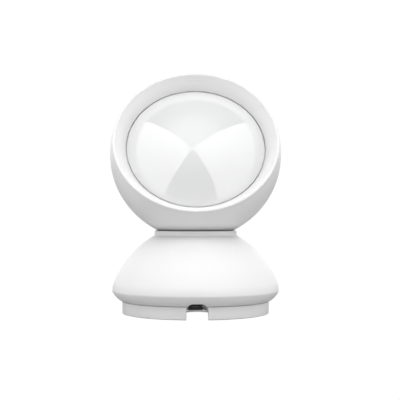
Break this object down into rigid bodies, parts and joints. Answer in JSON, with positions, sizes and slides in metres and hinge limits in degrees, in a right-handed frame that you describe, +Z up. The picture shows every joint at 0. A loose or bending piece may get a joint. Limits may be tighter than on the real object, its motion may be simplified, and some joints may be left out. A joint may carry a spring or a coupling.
{
  "type": "motion sensor",
  "caption": "Tabletop motion sensor with a ball head and recessed dome lens that pans and tilts in the cup of a flared foot, with a cable notch and a micro-USB inlet.",
  "frame": {"origin": "on the axis of the foot, on the surface that it stands on", "axes": "+Z up, the front with the lens and the cable notch faces -Y"},
  "size_m": [0.068, 0.0669, 0.0964],
  "materials": {
    "shell_white": "satin moulded white, very fine texture",
    "bezel_white": "satin moulded white",
    "plinth_white": "satin moulded white",
    "lens_milk": "milky, smooth and glossy outside",
    "carrier_grey": "as moulded",
    "foot_rubber": "matt",
    "pom_natural": "as moulded, waxy",
    "button_grey": "as moulded",
    "board_green": "solder mask over laminate",
    "steel_plated": "nickel plated",
    "screw_steel": "zinc plated",
    "spring_steel": "drawn wire",
    "ballast_steel": "zinc plated sheet",
    "component_black": "moulded epoxy",
    "connector_cream": "as moulded",
    "led_clear": "clear epoxy",
    "wire_grey": "PVC jacket"
  },
  "bodies": {
    "base": {"base_shell": "shell_white", "base_cover": "plinth_white", "foot_ring": "foot_rubber", "base_screws": "screw_steel", "base_pcb": "board_green", "base_pcb_screws": "screw_steel", "micro_usb_shell": "steel_plated", "micro_usb_tongue": "component_black", "voltage_regulator": "component_black", "power_inductor": "component_black", "base_connector": "connector_cream", "ballast_weight": "ballast_steel", "ballast_screws": "screw_steel", "tact_switch": "steel_plated", "seat_ring": "pom_natural"},
    "button": {"setup_button": "button_grey"},
    "swivel": {"swivel_stem": "steel_plated", "friction_saddle": "pom_natural", "clamp_spring": "spring_steel", "stop_washer": "steel_plated", "wave_washer": "steel_plated", "stem_nut": "steel_plated", "wire_harness": "wire_grey"},
    "head": {"head_shell": "shell_white", "front_bezel": "bezel_white", "lens": "lens_milk", "lens_retainer": "carrier_grey", "retainer_screws": "screw_steel", "pir_sensor": "steel_plated", "pir_window": "component_black", "pir_holder": "carrier_grey", "head_pcb": "board_green", "head_pcb_screws": "screw_steel", "wifi_module": "board_green", "wifi_shield": "steel_plated", "status_led": "led_clear", "light_sensor": "component_black", "head_connector": "connector_cream"}
  },
  "joints": [
    {"name": "head_pan", "type": "hinge", "parent": "base", "child": "swivel", "pos_m": [0, 0, 0.03], "axis": [0, 0, 1], "range_deg": [-162, 162], "deforming": ["wire_harness"]},
    {"name": "head_tilt", "type": "hinge", "parent": "swivel", "child": "head", "pos_m": [0, 0, 0.0633], "axis": [-1, 0, 0], "range_deg": [-10, 10], "deforming": ["wire_harness", "clamp_spring"]},
    {"name": "button_press", "type": "slide", "parent": "base", "child": "button", "axis": [0, 0, 1], "range_m": [0, 0.0004], "stiffness_N_per_m": 500, "springref_m": -0.0005}
  ]
}
